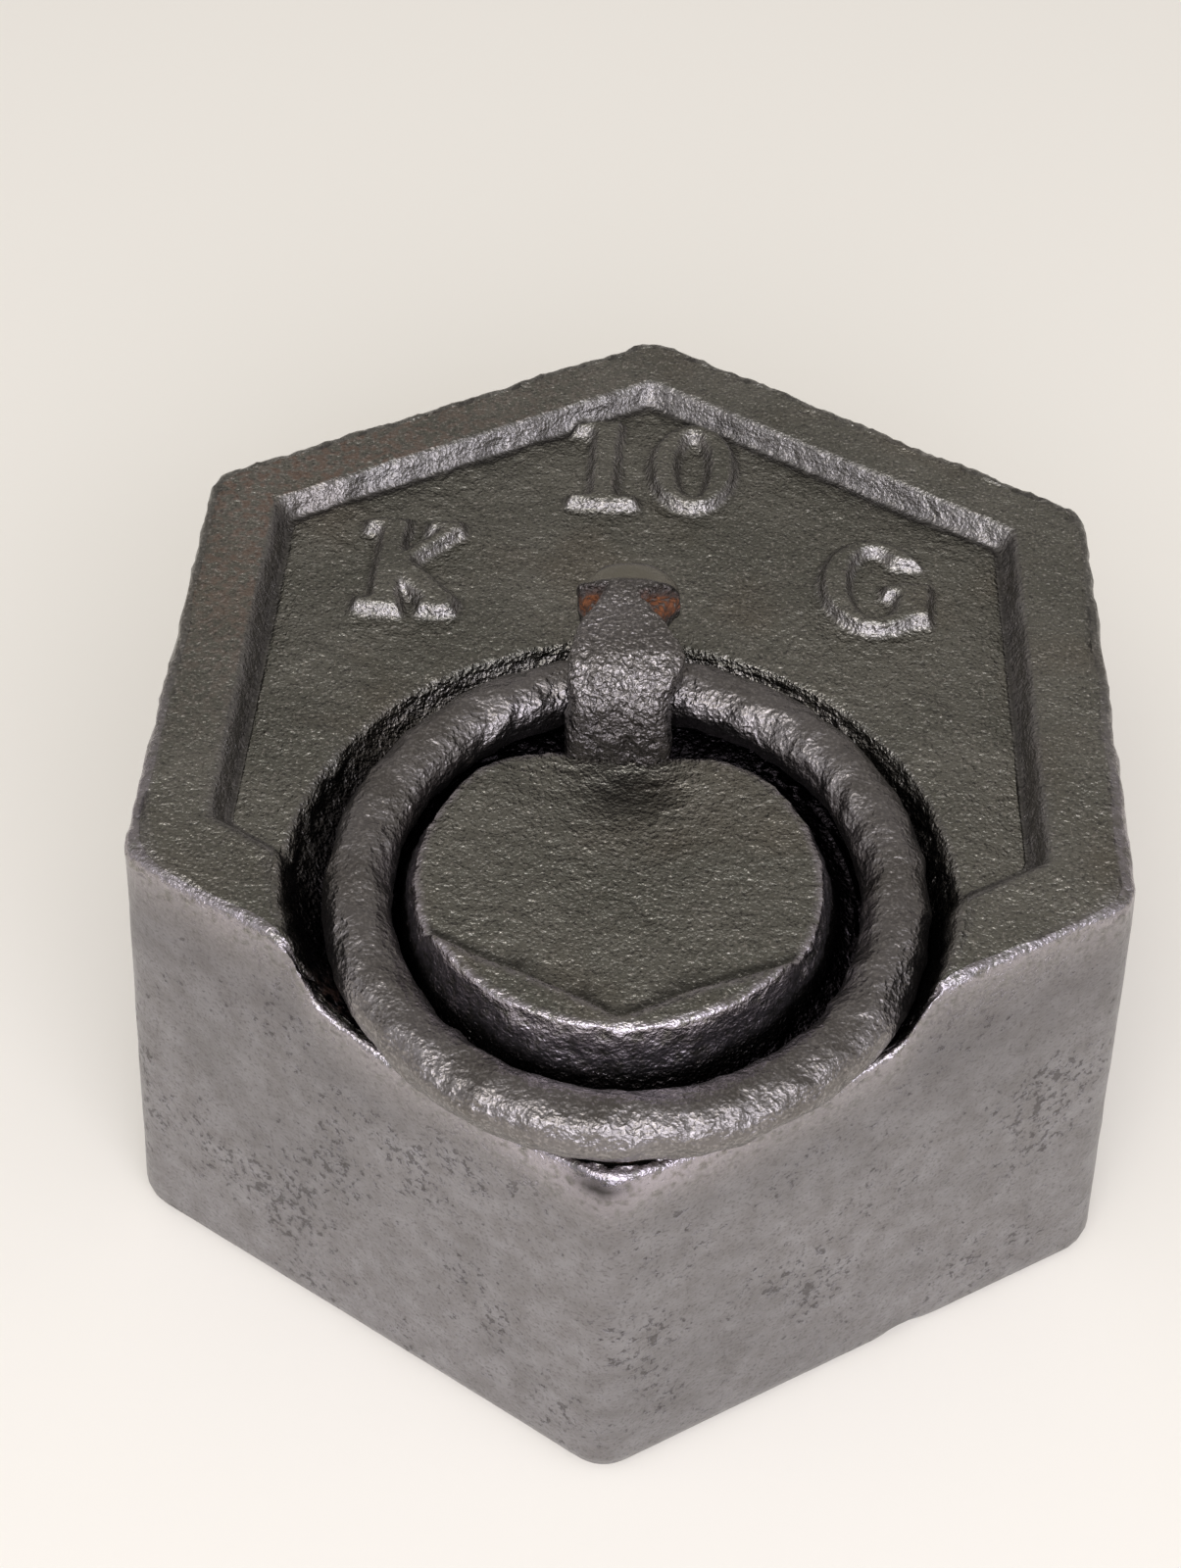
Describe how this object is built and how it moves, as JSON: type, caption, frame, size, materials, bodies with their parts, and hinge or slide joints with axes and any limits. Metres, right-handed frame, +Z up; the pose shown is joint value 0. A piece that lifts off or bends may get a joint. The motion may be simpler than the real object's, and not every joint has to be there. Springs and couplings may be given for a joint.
{
  "type": "cast iron scale weight",
  "caption": "Six-sided cast iron weight for a balance, with a lifting ring that lies in a groove and swings up under a forged staple.",
  "frame": {"origin": "centre of the base, on the surface that the weight stands on", "axes": "+Z up; -Y towards the corner of the block where the ring is lifted; +Y towards the raised figures; +X to the right of someone who faces them"},
  "size_m": [0.1492, 0.17, 0.0915],
  "materials": {
    "cast_iron": "cast, blacked with graphite, worn bright on the edges",
    "forged_iron": "forged, blacked with graphite, rubbed on top",
    "lead": "poured lead, dull grey"
  },
  "bodies": {
    "block": {"cast_block": "cast_iron", "ring_staple": "forged_iron", "lead_fill": "lead"},
    "ring": {"lifting_ring": "forged_iron"}
  },
  "joints": [
    {"name": "ring_swing", "type": "hinge", "parent": "block", "child": "ring", "pos_m": [0, 0.0001, 0.078], "axis": [-1, 0, 0], "range_deg": [0, 135]}
  ]
}
